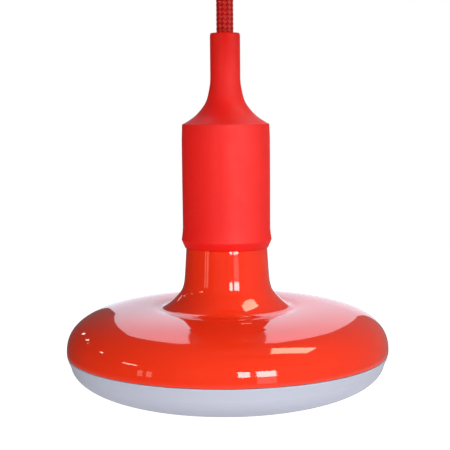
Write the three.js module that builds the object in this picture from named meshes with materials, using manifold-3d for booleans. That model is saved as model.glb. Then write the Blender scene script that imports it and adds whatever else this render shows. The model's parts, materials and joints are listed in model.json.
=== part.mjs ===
// Red pendant lamp: a ceiling cup, a taut textile cord, a silicone-covered E27 lampholder
// and a saucer-shaped LED lamp screwed into it.
// Millimetres, +Z up. The origin is the centre of the ceiling face; everything hangs below it.
import * as THREE from 'three';
import { mergeVertices } from 'three/addons/utils/BufferGeometryUtils.js';
import Module from 'manifold-3d';

const wasm = await Module();
wasm.setup();

// ---------------------------------------------------------------- driving dimensions
const GAP = 0.3; // clearance kept between neighbouring pieces

const CORD_R = 4.4;
const CORE_R = 1.2;
const CORE_SPREAD = 1.9; // half the distance between the two cores

const CUP_R = 46;
const CUP_DEPTH = 30;
const CUP_WALL = 1.6;
const STRAP_T = 1.5;
const STRAP_HALF = 43;
const CUP_SCREW_Z = -8;
const BLOCK_FIXING_X = -30; // screw that holds the terminal block to the strap
const BLOCK_HOLE_R = 1.6;

const GLAND_BORE_R = 4.8;
const GLAND_STUB_R = 7;
const GLAND_TOP = -14;
const GLAND_MOUTH = -40; // lower lip of the bell mouth
const SWING_Z = -34; // where the cord bends inside the bell mouth

const NECK_TOP = -68; // top of the silicone sleeve
const NECK_R = 7.7;
const SHOULDER_R = 22.5;
const SLEEVE_TIP_R = 23.4;
const SLEEVE_LENGTH = 110.5;
const TILT_Z = NECK_TOP - 1; // where the cord bends in the sleeve's mouth

const BARREL_R = 20.2;
const THREAD_PITCH = 25.4 / 7; // E27: seven threads to the inch
const THREAD_DEPTH = 0.475; // amplitude of the rolled knuckle thread
const THREAD_SIDES = 20;
const CAP_MID_R = 12.5;
const SHELL_MID_R = 13.05;

const SEAM_Z = NECK_TOP - 164.4; // joint between the housing and the diffuser
const SAUCER_R = 83.7;
const SAUCER_WALL = 2.2;
const WIDEST_H = 1.5; // height of the saucer's widest line above the seam
const CREST_R = 42;
const CREST_H = 23.6; // height of the saucer's crest above the seam
const RIM_POWER = 2.42; // roundness of the saucer's rim
const DIFFUSER_R = 82.2;
const DIFFUSER_H = 23.6;
const DIFFUSER_WALL = 1.8;
const DOME_POWER = 2.7; // squareness of the diffuser's edge
const UPSTAND_R = 80.6; // collar of the diffuser that slides into the housing
const SAUCER_SIDES = 36;
const LED_COUNT = 8;
const LED_RING_R = 50;
const POST_COUNT = 3;
const POST_RING_R = 62;

// ---------------------------------------------------------------- finishes
function finish(color, roughness, metalness = 0) {
  return new THREE.MeshStandardMaterial({ color, roughness, metalness });
}

const redSilicone = finish('#e8372a', 0.75);
const redGloss = finish('#e8301c', 0.15);
const redPlastic = finish('#c9271d', 0.5);
const redTextile = finish('#c01a12', 0.9);
const opal = finish('#dcdfe8', 0.45);
const blackPlastic = finish('#1c1c1e', 0.5);
const whiteCeramic = finish('#e9e6dd', 0.4);
const whitePlastic = finish('#e2e2de', 0.5);
const zincSteel = finish('#b9bcc0', 0.35, 1);
const brass = finish('#c9a450', 0.3, 1);
const nickel = finish('#c4c2bb', 0.28, 1);
const aluminium = finish('#bfc3c8', 0.4, 1);
const greenBoard = finish('#1f6b3a', 0.5);
const whiteBoard = finish('#eceeee', 0.45);
const yellowLed = finish('#e8d45a', 0.35);
const capacitorSleeve = finish('#23305e', 0.4);
const ferrite = finish('#33322f', 0.7);
const brownCore = finish('#6a3a1e', 0.5);
const blueCore = finish('#2459a8', 0.5);

// ---------------------------------------------------------------- geometry helpers
// Keeps only positions, joins shared vertices and drops triangles of no area.
function tidy(geometry) {
  const bare = new THREE.BufferGeometry();
  bare.setAttribute('position', geometry.getAttribute('position').clone());
  if (geometry.index) bare.setIndex(geometry.index.clone());
  const merged = mergeVertices(bare, 1e-4);
  const index = merged.index.array;
  const kept = [];
  for (let i = 0; i < index.length; i += 3) {
    const [a, b, c] = [index[i], index[i + 1], index[i + 2]];
    if (a !== b && b !== c && c !== a) kept.push(a, b, c);
  }
  merged.setIndex(kept);
  merged.computeVertexNormals();
  return merged;
}

function toSolid(geometry) {
  const clean = tidy(geometry);
  return new wasm.Manifold(new wasm.Mesh({
    numProp: 3,
    vertProperties: new Float32Array(clean.getAttribute('position').array),
    triVerts: new Uint32Array(clean.index.array),
  }));
}

function fromSolid(solid) {
  const mesh = solid.getMesh();
  const geometry = new THREE.BufferGeometry();
  geometry.setAttribute('position', new THREE.BufferAttribute(mesh.vertProperties, 3));
  geometry.setIndex([...mesh.triVerts]);
  return geometry;
}

function cut(body, ...tools) {
  return fromSolid(tools.reduce((rest, tool) => rest.subtract(toSolid(tool)), toSolid(body)));
}

function join(body, ...others) {
  return fromSolid(others.reduce((sum, other) => sum.add(toSolid(other)), toSolid(body)));
}

// A solid of revolution about Z from [radius, z] points. A profile that leaves the axis
// closes on itself.
function lathe(profile, segments) {
  const points = profile.map(([r, z]) => new THREE.Vector2(r, z));
  if (THREE.ShapeUtils.area(points) < 0) points.reverse();
  const onAxis = points[0].x === 0 && points[points.length - 1].x === 0;
  if (!onAxis) points.push(points[0].clone());
  const geometry = new THREE.LatheGeometry(points, segments);
  geometry.rotateX(Math.PI / 2);
  return tidy(geometry);
}

// [radius, z] points of a smooth curve through the given ones.
function smooth(points, steps) {
  const curve = new THREE.SplineCurve(points.map(([r, z]) => new THREE.Vector2(r, z)));
  return curve.getPoints(steps).map((p) => [p.x, p.y]);
}

// A quarter of a superellipse, from its crest on the axis side to its widest point.
function quarterRim(centreR, baseZ, width, height, power, steps) {
  const points = [];
  for (let i = 0; i <= steps; i += 1) {
    const angle = (i / steps) * (Math.PI / 2);
    const r = centreR + width * Math.sin(angle) ** (2 / power);
    const z = baseZ + height * Math.max(Math.cos(angle), 0) ** (2 / power);
    points.push([r, i === steps ? baseZ : z]);
  }
  return points;
}

function cylinder(radius, from, to, sides = 16) {
  const start = new THREE.Vector3(...from);
  const end = new THREE.Vector3(...to);
  const along = end.clone().sub(start);
  const geometry = new THREE.CylinderGeometry(radius, radius, along.length(), sides);
  const turn = new THREE.Quaternion().setFromUnitVectors(
    new THREE.Vector3(0, 1, 0), along.clone().normalize());
  geometry.applyQuaternion(turn);
  const middle = start.add(end).multiplyScalar(0.5);
  geometry.translate(middle.x, middle.y, middle.z);
  return geometry;
}

function block([x0, y0, z0], [x1, y1, z1]) {
  const geometry = new THREE.BoxGeometry(x1 - x0, y1 - y0, z1 - z0);
  geometry.translate((x0 + x1) / 2, (y0 + y1) / 2, (z0 + z1) / 2);
  return geometry;
}

// A round tube along a smooth path through the given points.
function wire(points, radius, sides, steps) {
  const section = new THREE.Shape();
  for (let i = 0; i < sides; i += 1) {
    const angle = (i / sides) * 2 * Math.PI;
    const place = [radius * Math.cos(angle), radius * Math.sin(angle)];
    if (i === 0) section.moveTo(...place);
    else section.lineTo(...place);
  }
  section.closePath();
  const path = new THREE.CatmullRomCurve3(points.map((p) => new THREE.Vector3(...p)));
  return tidy(new THREE.ExtrudeGeometry(section, { steps, extrudePath: path, curveSegments: 1 }));
}

// Presses a rolled thread into the surface that lies beyond (or within) a given radius.
// Strength fades in and out between the four heights of the zone.
function rollThread(geometry, isThreaded, [low, fullLow, fullHigh, high], fadeSide) {
  const position = geometry.getAttribute('position');
  for (let i = 0; i < position.count; i += 1) {
    const x = position.getX(i);
    const y = position.getY(i);
    const z = position.getZ(i);
    const r = Math.hypot(x, y);
    if (isThreaded(r) && z > low && z < high) {
      const rise = THREE.MathUtils.clamp((z - low) / (fullLow - low), 0, 1);
      const fall = THREE.MathUtils.clamp((high - z) / (high - fullHigh), 0, 1);
      const strength = Math.min(rise, fall);
      const wave = Math.cos((2 * Math.PI * z) / THREAD_PITCH - Math.atan2(y, x));
      const shift = THREAD_DEPTH * (wave * strength + fadeSide * (1 - strength));
      position.setXYZ(i, (x * (r + shift)) / r, (y * (r + shift)) / r, z);
    }
  }
  return geometry;
}

// Evenly spaced [radius, z] points on a straight wall, fine enough to carry the thread.
function threadWall(radius, from, to) {
  const steps = Math.ceil(Math.abs(to - from) / (THREAD_PITCH / 4));
  const points = [];
  for (let i = 0; i <= steps; i += 1) points.push([radius, from + ((to - from) * i) / steps]);
  return points;
}

// The height at a depth below the top of the sleeve.
function down(depth) {
  return NECK_TOP - depth;
}

// ---------------------------------------------------------------- assembly
const group = new THREE.Group();

function add(name, geometry, material) {
  const mesh = new THREE.Mesh(tidy(geometry), material);
  mesh.name = name;
  group.add(mesh);
}

// A slotted pan-head screw along a direction: head outside, shank inwards from the seat.
function screw(name, seat, inwards, shankLength, shankR, headR, headT, material) {
  const at = new THREE.Vector3(...seat);
  const way = new THREE.Vector3(...inwards).normalize();
  const tip = at.clone().addScaledVector(way, shankLength);
  const top = at.clone().addScaledVector(way, -headT);
  const sunk = at.clone().addScaledVector(way, 0.2);
  const head = cylinder(headR, top.toArray(), sunk.toArray(), 10);
  const shank = cylinder(shankR, at.toArray(), tip.toArray(), 8);
  const slotDepth = headT * 0.5;
  const slot = new THREE.BoxGeometry(headR * 3, slotDepth * 2, headR * 0.35);
  slot.applyQuaternion(new THREE.Quaternion().setFromUnitVectors(new THREE.Vector3(0, 1, 0), way));
  slot.translate(top.x, top.y, top.z);
  add(name, cut(join(head, shank), slot), material);
}

// ---------------------------------------------------------------- ceiling fitting
function buildStrap() {
  const halfWidth = 10;
  const earDepth = 14;
  const slotR = 2.4;
  const earHoleR = 1.9;
  const plate = block([-STRAP_HALF, -halfWidth, -STRAP_T], [STRAP_HALF, halfWidth, 0]);
  const ears = [-1, 1].map((side) => {
    const inner = side * (STRAP_HALF - STRAP_T);
    const outer = side * STRAP_HALF;
    return block([Math.min(inner, outer), -halfWidth, -earDepth],
      [Math.max(inner, outer), halfWidth, -STRAP_T / 2]);
  });
  const slots = [-1, 1].flatMap((side) => {
    const [near, far] = [side * 10, side * 17];
    const ends = [near, far].map((x) => cylinder(slotR, [x, 0, -3], [x, 0, 1], 16));
    return [...ends, block([Math.min(near, far), -slotR, -3], [Math.max(near, far), slotR, 1])];
  });
  const reach = STRAP_HALF + 2;
  const earHole = cylinder(earHoleR, [-reach, 0, CUP_SCREW_Z], [reach, 0, CUP_SCREW_Z]);
  const blockHole = cylinder(BLOCK_HOLE_R, [BLOCK_FIXING_X, 0, -3], [BLOCK_FIXING_X, 0, 1], 12);
  add('mounting_strap', cut(join(plate, ...ears), ...slots, earHole, blockHole), zincSteel);
}

function buildCup() {
  const cornerR = 9;
  const corner = (radius, wallR, floorZ) => {
    const points = [];
    for (let i = 0; i <= 3; i += 1) {
      const angle = (i / 3) * (Math.PI / 2);
      const [across, along] = [Math.cos(angle), Math.sin(angle)];
      points.push([wallR - radius * (1 - across), floorZ + radius * (1 - along)]);
    }
    return points;
  };
  const holeR = GLAND_STUB_R + 0.4;
  const outside = [[CUP_R, 0], ...corner(cornerR, CUP_R, -CUP_DEPTH), [holeR, -CUP_DEPTH]];
  const innerR = CUP_R - CUP_WALL;
  const innerFloor = CUP_WALL - CUP_DEPTH;
  const inside = [[innerR, 0], ...corner(cornerR - CUP_WALL, innerR, innerFloor), [holeR, innerFloor]];
  const shell = lathe([...outside, ...inside.reverse()], 32);
  const reach = CUP_R + 2;
  const screwHole = cylinder(2, [-reach, 0, CUP_SCREW_Z], [reach, 0, CUP_SCREW_Z]);
  add('ceiling_cup', cut(shell, screwHole), redPlastic);
  screw('cup_screw_left', [-CUP_R - GAP, 0, CUP_SCREW_Z], [1, 0, 0], 8, 1.6, 3.2, 1.8, zincSteel);
  screw('cup_screw_right', [CUP_R + GAP, 0, CUP_SCREW_Z], [-1, 0, 0], 8, 1.6, 3.2, 1.8, zincSteel);
}

function buildGland() {
  const flangeTop = -CUP_DEPTH - GAP;
  const grubZ = -18;
  const profile = [[GLAND_STUB_R, GLAND_TOP], [GLAND_STUB_R, flangeTop], [11.5, flangeTop],
    [11.5, flangeTop - 1.4], [8.6, flangeTop - 2.4], [8.6, -35.5], [9.6, -38], [10.6, GLAND_MOUTH + 0.4],
    [10.2, GLAND_MOUTH], [9.2, GLAND_MOUTH], [8.1, -38.2], [6.6, -36], [5.5, SWING_Z],
    [5.2, -31.5], [GLAND_BORE_R, -29.5], [GLAND_BORE_R, GLAND_TOP]];
  const grubHole = cylinder(1.7, [0, 0, grubZ], [GLAND_STUB_R + 3, 0, grubZ], 12);
  add('cord_gland', cut(lathe(profile, 24), grubHole), redPlastic);

  const nutSeat = CUP_WALL - CUP_DEPTH + GAP;
  const nutTop = nutSeat + 4.5;
  const nut = cylinder(11, [0, 0, nutSeat], [0, 0, nutTop], 6);
  const nutBore = cylinder(GLAND_STUB_R + 0.35, [0, 0, -CUP_DEPTH], [0, 0, nutTop + 2], 24);
  add('gland_nut', cut(nut, nutBore), redPlastic);

  const grub = cylinder(1.4, [CORD_R + GAP, 0, grubZ], [9.4, 0, grubZ], 12);
  const grubSlot = block([8.6, -2, grubZ - 0.3], [10, 2, grubZ + 0.3]);
  add('gland_grub_screw', cut(grub, grubSlot), zincSteel);
}

function buildTerminalBlock() {
  const poles = [-5, 5];
  const bottom = -14.8;
  const wireZ = -9;
  const wellX = -23;
  const body = block([-36, -10, bottom], [-18, 10, -STRAP_T - GAP]);
  const groove = block([wellX - 2, -1.2, bottom - 1], [-17, 1.2, -11]);
  const wireHoles = poles.map((y) => cylinder(1.8, [-37, y, wireZ], [-17, y, wireZ], 12));
  const wells = poles.map((y) => cylinder(2.3, [wellX, y, wireZ], [wellX, y, bottom - 1], 12));
  const fixingHole = cylinder(BLOCK_HOLE_R, [BLOCK_FIXING_X, 0, bottom - 1], [BLOCK_FIXING_X, 0, 0], 12);
  add('terminal_block', cut(body, groove, fixingHole, ...wireHoles, ...wells), whitePlastic);
  poles.forEach((y, pole) => {
    screw(`block_screw_${pole + 1}`, [wellX, y, -13], [0, 0, 1], 2.2, 1.4, 2, 1.2, brass);
  });
  screw('block_fixing_screw', [BLOCK_FIXING_X, 0, bottom - GAP], [0, 0, 1], 14.4, 1.3, 2.6, 1.4, zincSteel);
}

// The free stretch ends in a ball at each bend, so that it can turn in its two mouths.
function buildCords() {
  const ball = (z, sign) => [...[30, 60].map((degrees) => {
    const angle = THREE.MathUtils.degToRad(degrees);
    return [CORD_R * Math.cos(angle), z + sign * CORD_R * Math.sin(angle)];
  }), [0, z + sign * CORD_R]];
  const steps = [0, 0.25, 0.5, 0.75, 1].map((t) => [CORD_R, SWING_Z + (TILT_Z - SWING_Z) * t]);
  add('pendant_cord', lathe([...ball(SWING_Z, 1).reverse(), ...steps, ...ball(TILT_Z, -1)], 12), redTextile);

  const cupEnd = cylinder(CORD_R, [0, 0, SWING_Z + CORD_R + GAP], [0, 0, -10], 12);
  add('cord_in_cup', cupEnd, redTextile);
  const neckEnd = cylinder(CORD_R, [0, 0, down(50)], [0, 0, TILT_Z - CORD_R - GAP], 12);
  add('cord_in_neck', neckEnd, redTextile);

  [['brown', -1, brownCore], ['blue', 1, blueCore]].forEach(([colour, side, material]) => {
    const upper = [[0, CORE_SPREAD, -9.6], [-1, 2.1, -7.4], [-5, 3.2, -5.6], [-10, 4.5, -6.2],
      [-14, 5, -8.4], [-18, 5, -9], [-21, 5, -9]].map(([x, y, z]) => [x, side * y, z]);
    add(`${colour}_core_in_cup`, wire(upper, CORE_R, 6, 12), material);
    const lower = [[CORE_SPREAD, 0, -50.4], [2.4, 0.2, -51.8], [5, 1, -53], [8, 1.8, -54],
      [9.5, 2, -56], [9.5, 2, -58.3]].map(([x, y, z]) => [side * x, y, NECK_TOP + z]);
    add(`${colour}_core_in_holder`, wire(lower, CORE_R, 6, 9), material);
  });
}

// ---------------------------------------------------------------- lampholder
// Profiles here are written from the top of the sleeve downwards.
function hung(profile) {
  return profile.map(([r, z]) => [r, NECK_TOP + z]);
}

function buildSleeve() {
  const shoulder = smooth([[NECK_R, -21.6], [8.25, -27.7], [9.7, -33.8], [12.1, -38], [15.9, -42.1],
    [SHOULDER_R - 0.2, -46.2]], 8);
  const outside = [[NECK_R - 0.3, 0], [NECK_R, -0.3], ...shoulder, [SHOULDER_R, -46.6],
    [22.8, -54], [22.67, -98], [22.85, -102.5], [SLEEVE_TIP_R, -105.8], [21.4, -SLEEVE_LENGTH]];
  const inside = [[21.15, -SLEEVE_LENGTH], [21.15, -103], [20.55, -102.4], [20.55, -50.5], [17.5, -47.6],
    [12.5, -43.2], [8.4, -37.6], [6.4, -33.5], [4.75, -31], [4.75, -4.6], [5.25, -1], [5.8, 0]];
  add('silicone_sleeve', lathe(hung([...outside, ...inside]), 28), redSilicone);
}

function buildHolderShells() {
  const dome = [[6.1, -35.2], [7.8, -38.2], [12, -43.8], [17, -48.2], [BARREL_R, -51.4], [BARREL_R, -62],
    [18.4, -62], [18.4, -52.4], [15.8, -50.2], [11, -46.2], [7, -42.4], [5, -40], [5, -35.2]];
  add('holder_dome', lathe(hung(dome), 24), blackPlastic);

  const barrel = [[18.05, -56.5], [18.05, -62.3], [BARREL_R, -62.3], [BARREL_R, -102.6], [14.2, -102.6],
    [14.2, -101.2], [18.6, -101.2], [18.6, -64.3], [16.6, -64.3], [16.6, -56.5]];
  add('holder_barrel', lathe(hung(barrel), 24), blackPlastic);

  const ring = [[18.3, -69], [18.3, -70], [16.8, -70], [16.8, -69]];
  add('retaining_ring', lathe(hung(ring), 24), zincSteel);

  const stop = [[7.2, -43.6], [7.2, -48.6], [4.7, -48.6], [4.7, -43.6]];
  const stopZ = down(46.1);
  const stopHole = cylinder(1.5, [0, 0, stopZ], [0, 10, stopZ], 12);
  add('cord_stop', cut(lathe(hung(stop), 20), stopHole), zincSteel);
  add('cord_stop_screw', cylinder(1.2, [0, CORD_R + GAP, stopZ], [0, 9, stopZ], 10), zincSteel);
}

const STRIP_LIVE_X = 8.5;
const STRIP_NEUTRAL_X = -12.4;
const STRIP_HALF_T = 0.4;
const RIVET_X = 5.6;
const TERMINAL_X = 9.5;
const TERMINAL_Y = 2; // the wire hole and clamp screw of each terminal

function buildContactBlock() {
  const insert = [[0, -62.6], [16.2, -62.6], [16.2, -64.7], [18.2, -64.7], [18.2, -68.6], [16.2, -68.6],
    [16.2, -76], [14.5, -76], [14.5, -71.5], [0, -71.5]];
  const slot = (x) => block([x - 0.8, -2.5, down(73)], [x + 0.8, 2.5, down(60)]);
  const rivetHole = cylinder(1.5, [RIVET_X, 0, down(73)], [RIVET_X, 0, down(60)], 12);
  add('contact_block', cut(lathe(hung(insert), 24), slot(STRIP_LIVE_X), slot(STRIP_NEUTRAL_X), rivetHole),
    whiteCeramic);

  const screwZ = down(59.6);
  [['live', 1], ['neutral', -1]].forEach(([pole, side]) => {
    const x = side * TERMINAL_X;
    const body = block([x - 3.5, -4.5, down(62.3)], [x + 3.5, 4.5, down(56.3)]);
    const wireHole = cylinder(1.6, [x, TERMINAL_Y, down(60)], [x, TERMINAL_Y, down(55)], 12);
    const mouth = x + side * 4.5;
    const screwHole = cylinder(1.5, [x + side * 2, TERMINAL_Y, screwZ], [mouth, TERMINAL_Y, screwZ], 12);
    add(`${pole}_terminal`, cut(body, wireHole, screwHole), brass);
    screw(`${pole}_terminal_screw`, [x + side * (3.5 + GAP), TERMINAL_Y, screwZ], [-side, 0, 0], 1.5, 1.2,
      2, 1.2, zincSteel);
  });
}

function buildContacts() {
  const upright = block([STRIP_LIVE_X - STRIP_HALF_T, -2, down(72.6)],
    [STRIP_LIVE_X + STRIP_HALF_T, 2, down(62.7)]);
  const foot = block([3.4, -2, down(72.6)], [STRIP_LIVE_X, 2, down(71.9)]);
  const footHole = cylinder(1.5, [RIVET_X, 0, down(74)], [RIVET_X, 0, down(71)], 12);
  add('live_strip', cut(join(upright, foot), footHole), brass);
  add('neutral_strip', block([STRIP_NEUTRAL_X - STRIP_HALF_T, -2, down(71.7)],
    [STRIP_NEUTRAL_X + STRIP_HALF_T, 2, down(62.7)]), brass);

  const rivet = [[0, -65], [1.2, -65], [1.2, -72.9], [1.6, -72.9], [1.4, -73.4], [0, -73.5]];
  const shank = lathe(hung(rivet), 12);
  shank.translate(RIVET_X, 0, 0);
  add('contact_rivet', shank, brass);

  // The spring tongue drops from its bend to the centre of the lamp's cap.
  const tongue = new THREE.Shape();
  tongue.moveTo(3, -72.1);
  tongue.lineTo(3, -72.7);
  tongue.lineTo(-1, -75.7);
  tongue.lineTo(-3.4, -75.9);
  tongue.lineTo(-3.4, -75.3);
  tongue.lineTo(-0.8, -75.1);
  tongue.closePath();
  const strip = new THREE.ExtrudeGeometry(tongue, { depth: 4, bevelEnabled: false });
  strip.rotateX(Math.PI / 2);
  strip.translate(0, 2, NECK_TOP);
  add('contact_tongue', strip, brass);
}

function buildScrewShell() {
  const top = down(71.8);
  const mouth = down(98.4);
  const crestR = SHELL_MID_R + THREAD_DEPTH;
  const outerR = crestR + 0.65;
  const floor = top - 0.8;
  const collarR = 11.5; // hole in the shell's floor, round the contact block
  const wall = threadWall(SHELL_MID_R, down(97.4), down(74));
  const profile = [[collarR, top], [outerR, top], [outerR, mouth], [crestR + 0.2, mouth], ...wall,
    [SHELL_MID_R - THREAD_DEPTH, floor], [collarR, floor]];
  const zone = [down(97.5), down(96), down(75.5), down(73.9)];
  const shell = rollThread(lathe(profile, THREAD_SIDES), (r) => Math.abs(r - SHELL_MID_R) < 0.02, zone, 1);
  add('screw_shell', shell, nickel);
}

// ---------------------------------------------------------------- LED lamp
function buildLampCap() {
  const rim = down(103.1);
  const wall = threadWall(CAP_MID_R, down(99.2), down(80.8));
  const profile = [[11.4, rim], [13.3, rim], [13.3, rim + 2.6], [12.9, rim + 3.2], ...wall,
    [11.9, down(80.2)], [11.4, down(80.2)]];
  const zone = [down(99.3), down(97.6), down(82.4), down(80.7)];
  const shell = rollThread(lathe(profile, THREAD_SIDES), (r) => Math.abs(r - CAP_MID_R) < 0.02, zone, -1);
  add('cap_shell', shell, nickel);

  const insulator = [[1.7, -84.4], [10.9, -84.4], [10.9, -79.9], [11.7, -79.9], [11.5, -79.2], [9.5, -78.2],
    [5.4, -77.5], [1.7, -77.5]];
  add('cap_insulator', lathe(hung(insulator), 20), blackPlastic);

  const eyelet = [[0, -76.2], [2.2, -76.3], [4, -76.7], [4.7, -77.2], [1.3, -77.2], [1.3, -83.5], [0, -83.5]];
  add('cap_eyelet', lathe(hung(eyelet), 20), brass);
}

function aboveSeam(profile) {
  return profile.map(([r, h]) => [r, SEAM_Z + h]);
}

function buildHousing() {
  const neckTopH = 60.9;
  const flare = smooth([[22.35, 38.5], [23.3, 34.2], [25.6, 29.9], [28.4, 26.8], [30.5, 24.9], [32.4, 23.6],
    [34.6, 23], [38, 23.35], [CREST_R, CREST_H]], 12);
  const rim = quarterRim(CREST_R, WIDEST_H, SAUCER_R - CREST_R, CREST_H - WIDEST_H, RIM_POWER, 9).slice(1);
  const outside = [[11, neckTopH + 18.5], [11, neckTopH], [19.6, neckTopH], [20.2, neckTopH - 0.7],
    [20.85, 53.9], [21.75, 45.5], ...flare, ...rim, [SAUCER_R - 0.2, 0]];
  const innerFlare = smooth([[20, 38], [21.2, 33.2], [23.6, 28.6], [26.4, 25], [28.8, 22.7], [31.6, 21.2],
    [36, 20.9], [CREST_R, CREST_H - SAUCER_WALL]], 7);
  const seatR = SAUCER_R - SAUCER_WALL;
  const seatH = 5; // straight wall that the diffuser's collar slides into
  const innerRim = quarterRim(CREST_R, seatH, seatR - CREST_R, CREST_H - SAUCER_WALL - seatH, RIM_POWER, 6)
    .slice(1);
  const inside = [[seatR, 0], ...innerRim.reverse(), ...innerFlare.reverse(), [18, neckTopH - 2],
    [9.2, neckTopH - 2], [9.2, neckTopH + 18.5]];
  const shell = lathe(aboveSeam([...outside, ...inside]), SAUCER_SIDES);

  const posts = [];
  const holes = [];
  const foot = SEAM_Z + 6.1; // the posts stand on the heat spreader
  for (let i = 0; i < POST_COUNT; i += 1) {
    const angle = ((i + 0.25) / POST_COUNT) * 2 * Math.PI;
    const [x, y] = [POST_RING_R * Math.cos(angle), POST_RING_R * Math.sin(angle)];
    posts.push(cylinder(3.4, [x, y, foot], [x, y, foot + 14.3], 12));
    holes.push(cylinder(1.6, [x, y, SEAM_Z + 1], [x, y, foot + 9], 10));
    screw(`board_screw_${i + 1}`, [x, y, SEAM_Z + 2.2], [0, 0, 1], 9, 1.3, 2.8, 1.5, zincSteel);
  }
  add('lamp_housing', cut(join(shell, ...posts), ...holes), redGloss);
  return holes;
}

function buildDiffuser() {
  const top = -GAP;
  const collarH = 4;
  const collarWall = 2;
  const insideR = UPSTAND_R - collarWall;
  const below = ([r, h]) => [r, top - h];
  const outside = quarterRim(0, 0, DIFFUSER_R, DIFFUSER_H, DOME_POWER, 10).map(below);
  const innerDome = quarterRim(0, 0, insideR, DIFFUSER_H - DIFFUSER_WALL, DOME_POWER, 6).map(below);
  const collar = [[UPSTAND_R, top], [UPSTAND_R, collarH], [insideR, collarH]];
  const profile = [...outside, ...collar, ...innerDome.reverse()];
  add('diffuser', lathe(aboveSeam(profile), SAUCER_SIDES), opal);
}

function buildLedEngine(screwHoles) {
  const plate = (inner, outer, low, high) => lathe(aboveSeam([[inner, low], [outer, low], [outer, high],
    [inner, high]]), 28);
  add('heat_spreader', cut(plate(12, 76, 4.5, 5.8), ...screwHoles), aluminium);
  add('led_board', cut(plate(8, 72, 2.6, 4.2), ...screwHoles), whiteBoard);
  for (let i = 0; i < LED_COUNT; i += 1) {
    const led = block([LED_RING_R - 1.8, -1.4, SEAM_Z + 1.4], [LED_RING_R + 1.8, 1.4, SEAM_Z + 2.3]);
    led.rotateZ((i / LED_COUNT) * 2 * Math.PI);
    add(`led_${i + 1}`, led, yellowLed);
  }
}

function buildDriver() {
  const z = (h) => SEAM_Z + h;
  add('driver_board', block([-15, -0.8, z(26)], [15, 0.8, z(57)]), greenBoard);
  add('smoothing_capacitor', cylinder(5, [-8, 6.2, z(33)], [-8, 6.2, z(50)], 18), capacitorSleeve);
  add('driver_transformer', block([0, 1.1, z(29)], [13, 11, z(41)]), ferrite);
  add('bridge_rectifier', block([-4, -4.2, z(44)], [4, -1.1, z(50)]), blackPlastic);

  const inputs = [['live_input_lead', -2.4], ['neutral_input_lead', 2.4]];
  inputs.forEach(([name, x]) => {
    const route = [[x, -2.6, z(78)], [x, -3, z(70)], [x, -3, z(62)], [x, -2.4, z(56)], [x, -2.2, z(54)]];
    add(name, wire(route, 0.8, 6, 8), x < 0 ? brownCore : whitePlastic);
  });
  const outputs = [['red_output_lead', -3, redPlastic], ['black_output_lead', 3, blackPlastic]];
  outputs.forEach(([name, x, material]) => {
    const route = [[x, -2.4, z(28)], [x, -3, z(22)], [x * 1.3, -4, z(15)], [x * 1.8, -5, z(9)],
      [x * 2.6, -6.5, z(6.4)]];
    add(name, wire(route, 0.8, 6, 8), material);
  });
}

buildStrap();
buildCup();
buildGland();
buildTerminalBlock();
buildCords();
buildSleeve();
buildHolderShells();
buildContactBlock();
buildContacts();
buildScrewShell();
buildLampCap();
const boardScrewHoles = buildHousing();
buildDiffuser();
buildLedEngine(boardScrewHoles);
buildDriver();

export default group;
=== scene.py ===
"""Red pendant lamp: braided cord, silicone-covered lampholder and saucer-shaped LED lamp.

Profiles are [radius, height] in millimetres; finished meshes are in metres, in the part's frame.
"""

import json
import math

import bmesh
import bpy
import numpy as np
from mathutils import Matrix, Vector


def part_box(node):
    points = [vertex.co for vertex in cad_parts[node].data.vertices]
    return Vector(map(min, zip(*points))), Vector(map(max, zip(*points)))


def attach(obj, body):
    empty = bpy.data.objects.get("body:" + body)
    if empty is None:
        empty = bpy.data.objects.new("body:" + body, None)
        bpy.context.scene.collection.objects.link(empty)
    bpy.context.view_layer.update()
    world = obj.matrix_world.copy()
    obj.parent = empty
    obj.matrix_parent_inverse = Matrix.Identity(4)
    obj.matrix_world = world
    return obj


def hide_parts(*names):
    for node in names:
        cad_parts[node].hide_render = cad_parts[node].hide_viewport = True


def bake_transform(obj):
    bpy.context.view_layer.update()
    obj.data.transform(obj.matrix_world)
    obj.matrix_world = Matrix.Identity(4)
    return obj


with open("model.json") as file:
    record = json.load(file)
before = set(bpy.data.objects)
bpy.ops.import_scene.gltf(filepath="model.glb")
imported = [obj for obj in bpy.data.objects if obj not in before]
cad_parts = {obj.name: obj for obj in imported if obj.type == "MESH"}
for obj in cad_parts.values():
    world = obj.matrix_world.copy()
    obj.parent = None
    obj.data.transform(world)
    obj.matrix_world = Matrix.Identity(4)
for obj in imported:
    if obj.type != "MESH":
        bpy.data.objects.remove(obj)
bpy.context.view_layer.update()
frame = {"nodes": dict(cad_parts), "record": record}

MM = 0.001

# ---------------------------------------------------------------- heights taken from the frame, in mm
NECK_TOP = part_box("silicone_sleeve")[1].z / MM
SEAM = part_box("lamp_housing")[0].z / MM
CUP_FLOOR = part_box("ceiling_cup")[0].z / MM
SLOT_OF = {part["node"]: part["material_slot"] for part in frame["record"]["subparts"]}

# ---------------------------------------------------------------- driving sizes, in mm
GAP = 0.3  # clearance between neighbouring pieces
CUP_R = 46
CUP_WALL = 1.6
CUP_SCREW_Z = -8
GLAND_R = 7  # the gland's threaded stub
BLOCK_FIXING_X = -30  # the screw that holds the terminal block to the strap
CORE_R = 1.2  # insulated core of the cord
LEAD_R = 0.8
SAUCER_R = 83.7
WIDEST_H = 1.5  # height of the saucer's widest line above the seam
CREST_R, CREST_H = 42, 23.6  # the saucer's highest line, above the seam
RIM_POWER = 2.42  # squareness of the saucer's rim
DOME_R, DOME_H = 82.2, 23.6
DOME_POWER = 2.7
DOME_WALL = 1.8
UPSTAND_R = 80.6  # the diffuser's collar, inside the saucer
UPSTAND_WALL = 2
POST_RING_R = 62


def add_object(name, data):
    obj = bpy.data.objects.new(name, data)
    bpy.context.scene.collection.objects.link(obj)
    return obj


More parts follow.
